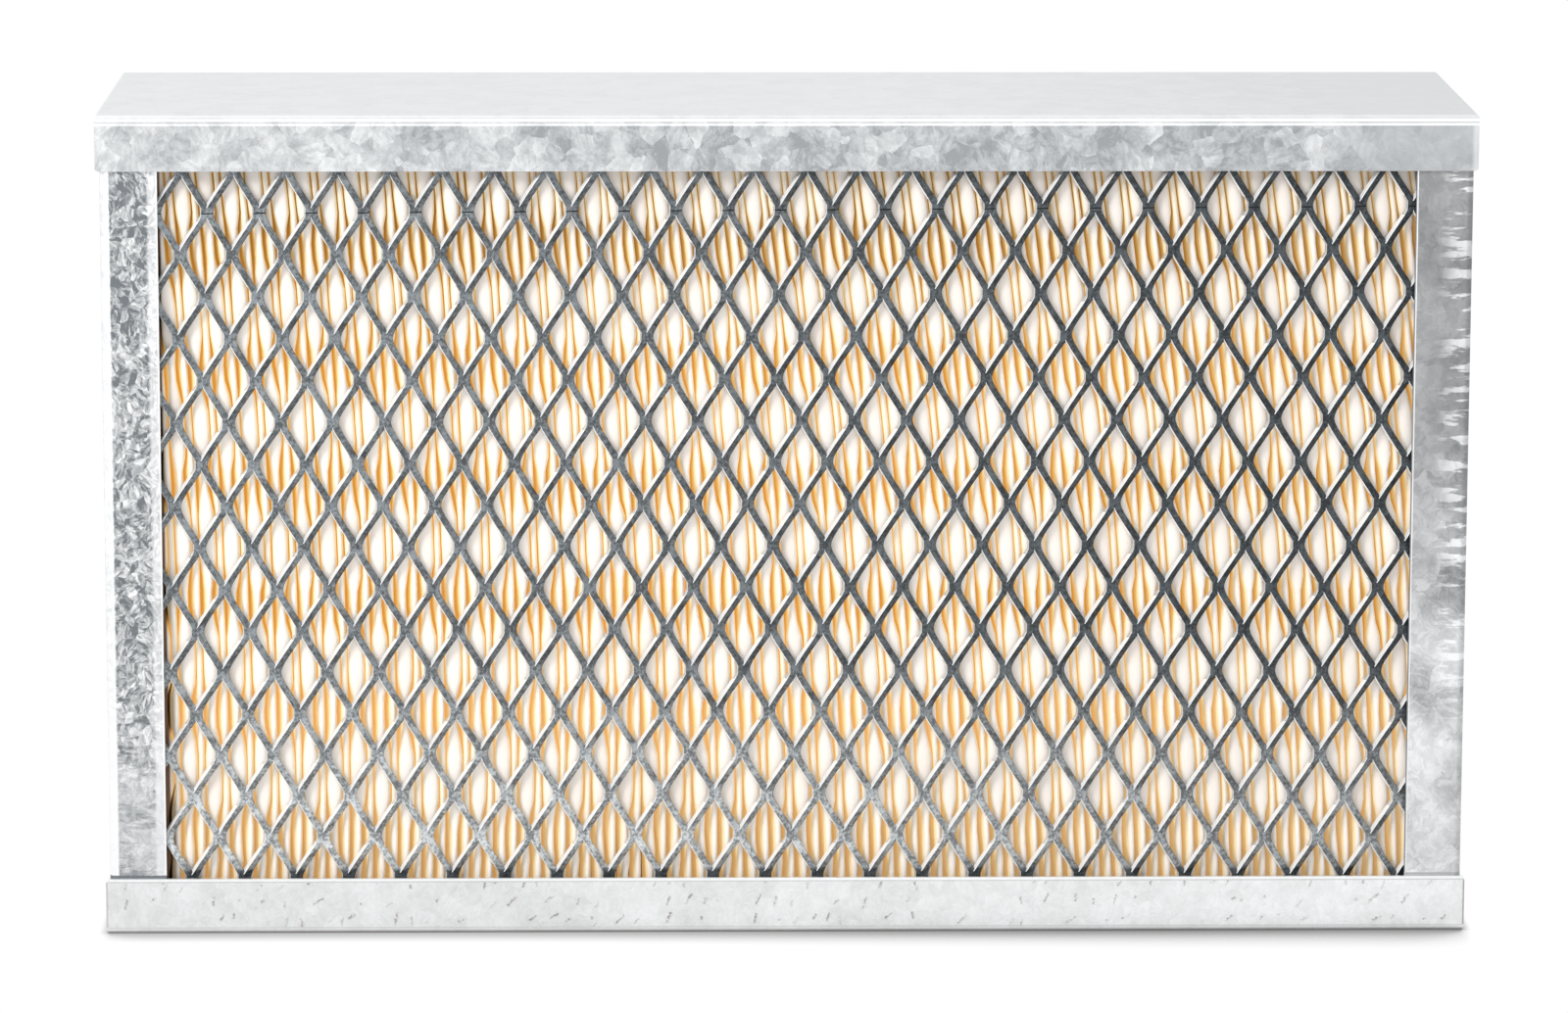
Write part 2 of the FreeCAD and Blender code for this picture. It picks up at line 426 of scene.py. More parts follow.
@dataclass(frozen=True)
class GalvanisedSheet(Finish):
    """Finish of folded galvanised sheet, with the crystals that its zinc shows.

    The tone runs from dark at 0 to light at 1, around a level. Patch, feather, shard, cloud and
    grain say how much each of them moves it.
    """

    dark: Rgb
    light: Rgb
    level: float
    crystal: float
    patch: float
    feather: float
    cloud: float
    shard: float = 0.0
    grain: float = 0.14
    cloud_size: float = 14.0
    warp: float = 0.9
    roughness: float = 0.4
    rise: float = 0.0
    drift: float = 0.0
    drift_over: Range = (-110.0, 0.0)
    scratch: float = 0.0
    plain_from: float = 0.0
    fade_over: Range = (0.0, 1.0)
    fade: Range = (1.0, 1.0)
    calm: float = 1.0
    streak: float = 0.0
    streak_zone: Zone | None = None
    zones: tuple[Zone, ...] = ()

    PLAIN_FADE = 20.0
    PLAIN_SHARE = 0.3
    RISE_OVER = (30.0, 130.0)
    SCRATCH_SPACING = 4.4
    SCRATCH_LENGTH = 1.7
    STREAK_STRETCH = (80.0, 60.0, 420.0)
    ZONE_DRIFT_OVER = (0.0, 170.0)
    METALLIC = 0.6

    def paint(self, look: Surface, t: Tree) -> None:
        """Fill the material.

        Args:
            look: The material.
            t: Its filler.
        """
        place = t.split(look.place)
        crystals = look.effect(look.effects.spangle, Size=self.crystal * MM, Warp=self.warp)
        speckle = look.speckle(0.45)
        cloud = t.span(t.noise(look.place, 1 / (self.cloud_size * MM)), 0.32, 0.68)
        values = (crystals["Patch"], crystals["Feather"], crystals["Shard"], cloud, speckle)
        shares = (self.patch, self.feather, self.shard, self.cloud, self.grain)
        lip = t.ramp(place[1], FRONT_LIP, self.calm, 1.0)
        relief = t.plus(*(t.times(t.minus(value, 0.5), share) for value, share in zip(values, shares)))
        if self.plain_from:
            ends = (self.plain_from, self.plain_from + self.PLAIN_FADE)
            relief = t.times(relief, t.ramp(place[0], ends, 1.0, self.PLAIN_SHARE))
        relief = t.times(relief, lip, t.ramp(place[2], self.fade_over, *self.fade))
        tone = t.plus(relief, t.times(t.ramp(place[2], self.RISE_OVER, 0.0, self.rise), lip), self.level)
        if self.scratch:
            spacing, length = self.SCRATCH_SPACING * MM, self.SCRATCH_LENGTH * MM
            marks = look.effect(look.effects.scratches, Spacing=spacing, Length=length)
            tone = t.minus(tone, t.times(marks[0], self.scratch))
        tone = t.plus(tone, t.ramp(place[0], self.drift_over, 0.0, self.drift))
        if self.streak_zone:
            rows = t.noise(t.vector("MULTIPLY", look.place, self.STREAK_STRETCH), 1.0, 4.0, 0.6)
            reach = t.times(t.span(rows, 0.51, 0.57), self.streak_zone.weight(t, place))
            tone = t.plus(tone, t.times(reach, self.streak))
        for zone in self.zones:
            level = t.plus(zone.tone, t.ramp(place[0], self.ZONE_DRIFT_OVER, 0.0, zone.drift))
            inside = t.math("MULTIPLY_ADD", relief, zone.keep, level)
            tone = t.mix_value(zone.weight(t, place), tone, inside)
        tone = t.math("ADD", tone, 0.0, clamp=True)
        look.feed({
            "Base Color": t.mix(tone, self.dark, self.light),
            "Roughness": t.span(tone, 0.0, 1.0, self.roughness + 0.1, self.roughness - 0.06),
            "Metallic": self.METALLIC,
        })
        look.bump(t.plus(crystals["Feather"], speckle), 0.2, 0.04)


@dataclass(frozen=True)
class SlitMetal(Finish):
    """Finish of expanded metal: dull strand faces and bright sheared edges.

    The faces are painted paler to the left, and more so near the bottom, as painted light that stops
    at the row that touches the lower lip. A tool left a fine dark score across the top row of bonds.
    """

    dull: Rgb
    pale: Rgb
    palest: Rgb
    sheared: Rgb
    score: Rgb = (0.004, 0.005, 0.006)
    score_height: float = 178.5
    score_slope: float = 0.0056

    # Where the painted light on the faces runs: paler to the left, palest low down and to the left, and none in
    # the row at the lower lip
    PALE_OVER = (130.0, -170.0)
    LOW_OVER = (74.0, 22.0)
    LOW_ACROSS = (170.0, -100.0)
    LIP_ROW = (16.4, 15.0)
    SCORE_WIDTH = (0.2, 0.1)
    FRONT_HALF = (0.0, -30.0)
    # How much the painted dark reflection darkens a face
    DARK_REFLECTION_STRENGTH = 0.55

    def paint(self, look: Surface, t: Tree) -> None:
        """Fill the material.

        Args:
            look: The material.
            t: Its filler.
        """
        x, y, z = t.split(look.place)
        speckle = look.speckle(0.7)
        cut, dark_reflection = t.painted("sheared"), t.painted("painted_dark_reflection")
        # Painted light: the faces turn paler to the left and palest low down to the left, but the row at the lower
        # lip keeps the dull colour
        sideways = t.mix(t.ramp(x, self.PALE_OVER), self.dull, self.pale)
        low = t.times(t.ramp(z, self.LOW_OVER), t.ramp(x, self.LOW_ACROSS, 0.5, 1.0))
        face = t.mix(t.ramp(z, self.LIP_ROW), t.mix(low, sideways, self.palest), self.dull)
        off_score = t.minus(t.minus(z, self.score_height * MM), t.times(x, self.score_slope))
        score = t.times(t.ramp(t.size(off_score), self.SCORE_WIDTH), t.ramp(y, self.FRONT_HALF))
        face = t.mix(score, face, self.score)
        # The painted dark reflection darkens the faces where it lies
        tone = t.times(t.span(speckle, 0.38, 0.62, 0.5, 1.5), t.minus(1.0, t.times(dark_reflection, self.DARK_REFLECTION_STRENGTH)))
        look.feed({
            "Base Color": t.mix(cut, t.scaled(face, tone), self.sheared),
            "Roughness": t.span(cut, 0.0, 1.0, 0.55, 0.32),
            "Metallic": t.span(cut, 0.0, 1.0, 0.55, 0.25),
        })
        look.bump(speckle, 0.3, 0.05)


@dataclass(frozen=True)
class FilterPaper(Finish):
    """Finish of resin-treated paper: cream crests, and light that glows orange down the folds."""

    # crest and shade are the paper's own cream tones, mixed at random; shoulder, fold and deep are painted light,
    # the warm to orange colour that light passing through the paper and bouncing between the folds gives further
    # down; glow is the strength of the painted glow
    crest: Rgb
    shade: Rgb
    shoulder: Rgb
    fold: Rgb
    deep: Rgb
    # Colour of the painted shade next to the side channels
    edge_shade: Rgb
    glow: float

    # Ranges of the depth below a crest, over which the painted light in the folds sets in
    DEPTH_SHOULDER = (0.1, 0.7)
    DEPTH_FOLD = (0.6, 2.2)
    DEPTH_LIT = (0.3, 2.6)
    DEPTH_DEEP = (1.2, 4.4)
    DEPTH_FAR = (3.0, 16.0)
    # Ranges across and up the pack, over which the painted fold colour and glow change
    DEEPER_LEFT = (60.0, -160.0)
    PALER_LOW = (85.0, 30.0)
    OPEN_LOW = (5.0, 80.0)
    OPEN_HIGH = (192.0, 135.0)
    DIM_RIGHT = (160.0, 0.0)
    # Painted shade next to the side channels lies further from the middle than this: on the left at the
    # bottom and the top, and on the right
    EDGE_SHADE_MIDDLE = 0.3
    EDGE_SHADE_LEFT = (150.7, 151.3)
    EDGE_SHADE_RIGHT = 157.5
    EDGE_SHADE_SOFTNESS = 0.6

    def _inner(self, t: Tree, x: Socket, z: Socket, below: Socket) -> Socket:
        """Paint the colour that light gives inside the folds, as it passes through the paper and bounces.

        Args:
            t: Filler of the material.
            x: Place across.
            z: Place up.
            below: Depth below the crest.

        Returns:
            The colour.
        """
        # Painted light and shade: the orange is deeper on the flanks that face right, away from the light, and to
        # the left of the pack; the flanks that face left turn deep only further down; far down the right-facing
        # flanks and low in the pack it pales towards the shoulder colour
        facing = t.painted("facing")
        away = t.math("MULTIPLY_ADD", facing, 0.45, t.ramp(x, self.DEEPER_LEFT, 0.42, 0.62), clamp=True)
        depth = t.times(t.ramp(below, self.DEPTH_DEEP), t.span(facing, -0.5, 0.0, 1.0, 0.0))
        inner = t.mix(t.math("MAXIMUM", away, depth), self.fold, self.deep)
        far = t.times(t.ramp(below, self.DEPTH_FAR), t.span(facing, 0.0, 1.0, 0.0, 0.85))
        inner = t.mix(far, inner, self.shoulder)
        return t.mix(t.ramp(z, self.PALER_LOW, 0.0, 0.7), inner, self.shoulder)

    def paint(self, look: Surface, t: Tree) -> None:
        """Fill the material.

        Args:
            look: The material.
            t: Its filler.
        """
        x, y, z = t.split(look.place)
        middle, half = (PAPER_FRONT + PAPER_REAR) / 2 * MM, (PAPER_REAR - PAPER_FRONT) / 2 * MM
        below = t.minus(half, t.size(t.minus(y, middle)))
        speckle = look.speckle(0.4)
        upper = t.mix(t.span(t.noise(look.place, 45.0, 2.0), 0.4, 0.75), self.crest, self.shade)
        inner = self._inner(t, x, z, below)
        # Painted light: below the crest the colour warms to the shoulder colour and then turns to the painted
        # orange of the folds
        shoulder = t.mix(t.ramp(below, self.DEPTH_SHOULDER), upper, self.shoulder)
        colour = t.mix(t.ramp(below, self.DEPTH_FOLD), shoulder, inner)
        # Painted shade: the paper turns dark brown close to the side channels, mostly on the left and wider there
        # at the bottom, and its glow is held back there
        left = t.ramp(z, (20.0, 120.0), self.EDGE_SHADE_LEFT[0] * MM, self.EDGE_SHADE_LEFT[1] * MM)
        inset = t.ramp(x, (-10.0, 10.0), left, self.EDGE_SHADE_RIGHT * MM)
        off_middle = t.size(t.minus(x, self.EDGE_SHADE_MIDDLE * MM))
        edge_shaded = t.span(off_middle, inset, t.plus(inset, self.EDGE_SHADE_SOFTNESS * MM))
        # Painted glow: the folds shine with the light that passes through the paper, and the crests shine faintly.
        # The glow fades towards the bottom, and towards the top to nothing under the top cap as painted shade. It
        # is dimmer to the right and stays out of the painted shade next to the channels
        lit = t.mix(t.ramp(below, self.DEPTH_LIT), t.mix(0.42, BLACK, upper), inner)
        open_part = t.times(t.ramp(z, self.OPEN_LOW, 0.2, 1.0), t.ramp(z, self.OPEN_HIGH))
        lively = t.times(open_part, t.ramp(x, self.DIM_RIGHT, 0.72, 1.0))
        shown = t.times(t.math("MULTIPLY_ADD", lively, 0.75, 0.25), t.minus(1.0, edge_shaded))
        look.feed({
            "Base Color": t.mix(edge_shaded, colour, self.edge_shade),
            "Emission Color": t.mix(shown, BLACK, lit),
            "Emission Strength": self.glow,
            "Roughness": 0.85,
        })
        look.bump(speckle, 0.15, 0.04)


@dataclass(frozen=True)
class CastSealant(Finish):
    """Finish of cast sealant: dark, a little glossy and slightly uneven."""

    colour: Rgb
    lighter: float = 1.7

    def paint(self, look: Surface, t: Tree) -> None:
        """Fill the material.

        Args:
            look: The material.
            t: Its filler.
        """
        speckle = look.speckle(3.0)
        light = tuple(min(1.0, c * self.lighter) for c in self.colour)
        look.feed({"Base Color": t.mix(t.span(speckle, 0.4, 0.62), self.colour, light), "Roughness": 0.38})
        look.bump(speckle, 0.3, 0.3)


@dataclass(frozen=True)
class CellFoam(Finish):
    """Finish of closed-cell foam rubber: fine open pores in a matt black skin."""

    colour: Rgb
    pore: float = 0.7

    def paint(self, look: Surface, t: Tree) -> None:
        """Fill the material.

        Args:
            look: The material.
            t: Its filler.
        """
        # Painted shade: the pores are darker than the skin; the same pattern gives the bump
        inputs = {"Vector": look.place, "Scale": 1 / (self.pore * MM)}
        depth = t.span(t.add("ShaderNodeTexVoronoi", inputs).outputs["Distance"], 0.08, 0.45)
        speckle = look.speckle(0.9)
        pale = tuple(c * 2.4 + 0.012 for c in self.colour)
        tone = t.times(depth, t.span(speckle, 0.35, 0.65, 0.5, 1.0))
        look.feed({"Base Color": t.mix(tone, self.colour, pale), "Roughness": 0.9})
        look.bump(depth, 0.6, 0.2)


class RowModifier:
    """A Geometry Nodes tree that repeats a mesh in a row, used once and then taken off.

    Each copy stores its number in the row as "copy".
    """

    def __init__(self, name: str, numbers: tuple[str, ...]) -> None:
        """Start the tree and place the copies.

        Args:
            name: Name of the tree.
            numbers: Names of the inputs that this use adds, which are all numbers.
        """
        self.group = bpy.data.node_groups.new(name, "GeometryNodeTree")
        kinds = {"Geometry": "NodeSocketGeometry", "Count": "NodeSocketInt", "Pitch": NUMBER, "First": NUMBER}
        kinds.update(dict.fromkeys(numbers, NUMBER), Material="NodeSocketMaterial")
        for socket, kind in kinds.items():
            self.group.interface.new_socket(socket, in_out="INPUT", socket_type=kind)
        self.group.interface.new_socket("Geometry", in_out="OUTPUT", socket_type="NodeSocketGeometry")
        self.tree = t = Tree(self.group)
        self.into = into = t.add("NodeGroupInput").outputs
        start, offset = t.combine(into["First"]), t.combine(into["Pitch"])
        inputs = {"Count": into["Count"], "Start Location": start, "Offset": offset}
        line = t.add("GeometryNodeMeshLine", inputs)
        inputs = {"Geometry": line.outputs[0], "Name": "copy", "Value": t.add("GeometryNodeInputIndex").outputs[0]}
        marked = t.add("GeometryNodeStoreNamedAttribute", inputs, data_type="FLOAT", domain="POINT")
        inputs = {"Points": marked.outputs[0], "Instance": into["Geometry"]}
        placed = t.add("GeometryNodeInstanceOnPoints", inputs)
        self.copies = t.add("GeometryNodeRealizeInstances", {"Geometry": placed.outputs[0]}).outputs[0]

    def finish(self, geometry: Any) -> None:
        """End the tree in Set Material and its output.

        Args:
            geometry: Socket with the finished geometry.
        """
        inputs = {"Geometry": geometry, "Material": self.into["Material"]}
        last = self.tree.add("GeometryNodeSetMaterial", inputs)
        self.tree.put(self.tree.add("NodeGroupOutput"), 0, last.outputs[0])

    def apply(self, mesh: Mesh, name: str, lengths: dict[str, float], values: dict[str, Any]) -> Object:
        """Run the tree on a mesh and return the result as a plain mesh object.

        Args:
            mesh: The mesh that the row repeats.
            name: Name of the new object.
            lengths: Inputs in millimetres, by name.
            values: The other inputs, by name.

        Returns:
            The new object, which stands at the origin.
        """
        values = {key: length * MM for key, length in lengths.items()} | values
        source = bpy.data.objects.new(name + "_source", mesh)
        bpy.context.scene.collection.objects.link(source)
        modifier = source.modifiers.new("nodes", "NODES")
        modifier.node_group = self.group
        for item in self.group.interface.items_tree:
            if item.in_out == "INPUT" and item.name in values:
                modifier[item.identifier] = values[item.name]
        evaluated = source.evaluated_get(bpy.context.evaluated_depsgraph_get())
        result = bpy.data.meshes.new_from_object(evaluated)
        result.name = name
        source.modifiers.clear()
        bpy.data.objects.remove(source, do_unlink=True)
        piece = bpy.data.objects.new(name, result)
        bpy.context.scene.collection.objects.link(piece)
        return piece


def mesh_of(name: str, points: Iterable[Iterable[float]], faces: Iterable[tuple[int, ...]]) -> Mesh:
    """Make a mesh.

    Args:
        name: Name of the mesh.
        points: Corner positions in metres.
        faces: Corner numbers of each face.

    Returns:
        The mesh.
    """
    mesh = bpy.data.meshes.new(name)
    mesh.from_pydata([tuple(p) for p in points], [], list(faces))
    mesh.update()
    return mesh


def store(mesh: Mesh, name: str, domain: str, values: list[float]) -> None:
    """Store one number for each face or point of a mesh."""
    mesh.attributes.new(name, "FLOAT", domain).data.foreach_set("value", values)


def ring_side(row: int, i: int, n: int) -> tuple[int, int, int, int]:
    """Return the face that follows point i between a ring of n points and the next ring."""
    j = (i + 1) % n
    return row * n + i, row * n + j, (row + 1) * n + j, (row + 1) * n + i


def ring_ends(rings: int, n: int) -> list[tuple[int, ...]]:
    """Return the faces that close the first and the last of some rings of n points."""
    return [tuple(reversed(range(n))), tuple((rings - 1) * n + i for i in range(n))]


@dataclass
class Strand:
    """Mesh of one strand, with how sheared each face is and how much painted dark reflection it carries."""

    points: list[tuple[float, float, float]] = field(default_factory=list)
    faces: list[tuple[int, ...]] = field(default_factory=list)
    sheared: list[float] = field(default_factory=list)
    painted_dark_reflection: list[float] = field(default_factory=list)


@dataclass
class ExpandedScreen:
    """Expanded metal: zigzag strands that join side by side in bonds.

    A strand's cut is given in plan, as width and tilt: its left edge stands nearer to the viewer,
    and it is tilted more where it rises to the right than where it falls.
    """

    name: str
    node: str
    side: Side
    pitch_x: float
    pitch_z: float
    node_x: float
    node_z: float
    ridge_y: float
    strands: tuple[int, int]
    rise: Range
    fall: Range
    bond: float
    gauge: float = 1.4
    overlap: float = 0.95
    joint_tilt: float = 11.0
    roundness: float = 1.1
    lean: float = 0.0
    pull_across: tuple[float, float, float, float] = (0.0, 0.0, 0.0, 0.0)
    pull_down: tuple[float, float, float] = (0.0, 0.0, 0.0)

    CORNER = 0.12
    BOND_GAP = 0.06
    STEPS = (0.0, 0.055, 0.11, 0.18, 0.26, 0.38, 0.6, 0.86, 1.0)
    FREE_GAIN = 1.7
    # Where along the way across a strand the painted dark reflection lies, and how strong it is
    DARK_REFLECTION_RISING = (0.3, 0.75)
    DARK_REFLECTION_FALLING = (0.72, 1.0)
    DARK_REFLECTION_REACH = 0.2
    # Sides of the cut that the shears leave bright, and the share near the two kinds of bond
    SHEARED_SIDES = (0, 1, 7)
    NEAR_LEFT_BOND = 0.03
    NEAR_RIGHT_BOND = 0.95
    BOND_SHARE = 0.55
    PULLS = ("Pull Across", "Bow Across", "Skew Across", "Fan Across", "Pull Down", "Bow Down", "Fan Down")
    WINDOW_HALF = (143.0, 85.0)
    MIDDLE_HEIGHT = 101.6
    EDGE_FROM = -160.0
    EDGE_STRETCH = 0.45

    def _half_row(self, rising: bool) -> list[tuple[float, float, float, float]]:
        """Return the strand's stations over one half row, without the last.

        Args:
            rising: Whether the strand runs from its left bond up to its right bond.

        Returns:
            Share of the way across, height, width and tilt of each station.
        """
        h = self.pitch_z / 2
        run, way, a = h - self.bond, self.pitch_x / 2 - self.overlap, self.roundness
        slope = math.sqrt((way + a) ** 2 - a * a) / run
        width, tilt = self.rise if rising else self.fall
        joint_width, joint_tilt = (self.rise[0] + self.fall[0]) / 2, self.joint_tilt
        out = []
        for up in self.STEPS:
            across = (math.sqrt(a * a + (slope * up * run) ** 2) - a) / way
            free = min(1.0, self.FREE_GAIN * math.sin(math.pi * up))
            wide = joint_width + (width - joint_width) * free
            out.append((across, up * run, wide, joint_tilt + (tilt - joint_tilt) * free))
        if not rising:
            out.append((1.0, h, joint_width, joint_tilt))
            out = [(across, h - up, w, angle) for across, up, w, angle in reversed(out)][:-1]
        return out

    def _stations(self, start_left: bool) -> list[tuple[float, ...]]:
        """Return the strand's stations from the bottom to the top of the sheet.

        Args:
            start_left: Whether the lowest bond is a left one.

        Returns:
            Share of the way across, height, width, tilt and painted dark reflection of each station.
        """
        h = self.pitch_z / 2
        first, last = math.ceil((SCREEN_LOW - self.node_z) / h), math.floor((SCREEN_HIGH - self.node_z) / h)
        stations: list[tuple[float, ...]] = []
        for number in range(last - first):
            rising = (number % 2 == 0) == start_left
            middle, share = self.DARK_REFLECTION_RISING if rising else self.DARK_REFLECTION_FALLING
            for across, up, width, tilt in self._half_row(rising):
                # A painted dark reflection on the face, strongest at one place along the way across
                dark_reflection = math.exp(-(((across - middle) / self.DARK_REFLECTION_REACH) ** 2)) * share
                stations.append((across, self.node_z + (first + number) * h + up, width, tilt, dark_reflection))
        ends_left = ((last - first) % 2 == 0) == start_left
        return [*stations, (0.0 if ends_left else 1.0, self.node_z + last * h, *stations[0][2:])]

    def _cut(self, width: float, tilt: float) -> np.ndarray:
        """Return the strand's cut in plan, with small broken corners.

        Args:
            width: Width of the strand.
            tilt: Its turn in degrees.

        Returns:
            Eight points, one row each.
        """
        w, t, c = width / 2, self.gauge / 2, self.CORNER
        lower = [(-w, t - c), (-w, c - t), (c - w, -t), (w - 2 * c, -t)]
        upper = [(w, 2 * c - t), (w, t - c), (w - c, t), (c - w, t)]
        sine, cosine = math.sin(math.radians(tilt)), math.cos(math.radians(tilt))
        return np.array(lower + upper) @ np.array([[cosine, sine], [-sine, cosine]])

    def _strand(self, first_x: float, start_left: bool) -> Strand:
        """Sweep one strand from the bottom to the top of the sheet.

        Args:
            first_x: Place of the left bonds across.
            start_left: Whether the lowest bond is a left one.

        Returns:
            The strand.
        """
        stations = self._stations(start_left)
        step = math.tan(math.radians(self.joint_tilt)) * self.overlap / 2 + self.BOND_GAP
        way, n, strand = self.pitch_x / 2 - self.overlap, 8, Strand()
        for across, z, width, tilt, _ in stations:
            x = first_x + self.overlap / 2 + way * across + self.lean * (z - SCREEN_HIGH)
            strand.points += [(x + dx, step * (1 - 2 * across) + dy, z) for dx, dy in self._cut(width, tilt)]
        for row, (start, end) in enumerate(zip(stations, stations[1:])):
            lowest, highest = sorted((start[0], end[0]))
            share = 1.0 if highest < self.NEAR_RIGHT_BOND else self.BOND_SHARE
            share = 0.0 if lowest <= self.NEAR_LEFT_BOND else share
            for i in range(n):
                strand.faces.append(ring_side(row, i, n))
                strand.sheared.append(share if i in self.SHEARED_SIDES else 0.0)
                strand.painted_dark_reflection.append((start[4] + end[4]) / 2)
        strand.faces += ring_ends(len(stations), n)
        strand.sheared += [0.0, 0.0]
        strand.painted_dark_reflection += [0.0, 0.0]
        return strand

    def _pair(self) -> Mesh:
        """Make the two neighbouring strands that the sheet repeats.

        Returns:
            The mesh, which stores what the finish and the row need.
        """
        start_left = math.ceil((SCREEN_LOW - self.node_z) / (self.pitch_z / 2)) % 2 == 0
        first, second = self._strand(0.0, start_left), self._strand(self.pitch_x / 2, not start_left)
        faces = first.faces + [tuple(i + len(first.points) for i in face) for face in second.faces]
        points = np.array(first.points + second.points)
        points[:, 1] = self.ridge_y - self.side.value * (points[:, 1] - points[:, 1].min())
        if self.side is Side.OUTLET:
            faces = [tuple(reversed(face)) for face in faces]
        LOG.info("%s is %.2f mm thick", self.name, np.ptp(points[:, 1]))
        mesh = mesh_of(self.name + "_pair", points * MM, faces)
        store(mesh, "sheared", "FACE", first.sheared + second.sheared)
        store(mesh, "painted_dark_reflection", "FACE", first.painted_dark_reflection + second.painted_dark_reflection)
        store(mesh, "second_strand", "POINT", [0.0] * len(first.points) + [1.0] * len(second.points))
        return mesh

    def _pulled(self, t: Tree, into: Any) -> Socket:
        """Add the fields that pull the sheet a little out of its even pattern.

        Args:
            t: Filler of the tree.
            into: The tree's inputs.

        Returns:
            The offset of each point.
        """
        x, _, z = t.split(t.add("GeometryNodeInputPosition").outputs[0])
        u = t.math("DIVIDE", x, self.WINDOW_HALF[0] * MM)
        v = t.math("DIVIDE", t.minus(self.MIDDLE_HEIGHT * MM, z), self.WINDOW_HALF[1] * MM)
        square = t.times(u, u)
        across = t.math("MULTIPLY_ADD", square, into["Bow Across"], into["Pull Across"])
        across = t.math("MULTIPLY_ADD", t.times(square, u), into["Skew Across"], across)
        across = t.math("MULTIPLY_ADD", t.times(u, v), into["Fan Across"], across)
        outside = t.math("MAXIMUM", t.minus(self.EDGE_FROM * MM, t.plus(x, across)), 0.0)
        across = t.math("MULTIPLY_ADD", outside, self.EDGE_STRETCH, across)
        down = t.math("MULTIPLY_ADD", t.minus(square, t.times(u, 0.6)), into["Bow Down"], into["Pull Down"])
        down = t.math("MULTIPLY_ADD", t.times(v, t.plus(square, u, 0.1)), into["Fan Down"], down)
        return t.combine(across, 0.0, t.times(down, -1.0))

    def build(self, material: Material) -> Object:
        """Make the screen.

        Args:
            material: Its material.

        Returns:
            The finished piece.
        """
        rows = RowModifier("strand_rows", ("From Strand", "To Strand", *self.PULLS))
        t, into = rows.tree, rows.into
        number = t.math("MULTIPLY_ADD", t.stored("copy"), 2.0, t.stored("second_strand"))
        before = t.math("LESS_THAN", number, into["From Strand"])
        surplus = t.plus(before, t.math("GREATER_THAN", number, into["To Strand"]))
        inputs = {"Geometry": rows.copies, "Selection": surplus}
        kept = t.add("GeometryNodeDeleteGeometry", inputs, domain="POINT", mode="ALL")
        inputs = {"Geometry": kept.outputs[0], "Offset": self._pulled(t, into)}
        rows.finish(t.add("GeometryNodeSetPosition", inputs).outputs[0])
        from_strand, to_strand = self.strands
        first, last = from_strand // 2, to_strand // 2
        lengths = {"Pitch": self.pitch_x, "First": self.node_x + first * self.pitch_x}
        lengths.update(zip(self.PULLS, self.pull_across + self.pull_down))
        values = {
            "Count": last - first + 1, "From Strand": from_strand - 2 * first - 0.5,
            "To Strand": to_strand - 2 * first + 0.5, "Material": material,
        }
        piece = rows.apply(self._pair(), self.name, lengths, values)
        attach(piece, "root")
        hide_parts(self.node)
        reach = [v.co.x / MM for v in piece.data.vertices]
        count = len(piece.data.polygons)
        LOG.info("%s has %d faces and reaches from %.1f to %.1f mm", self.name, count, min(reach), max(reach))
        return piece


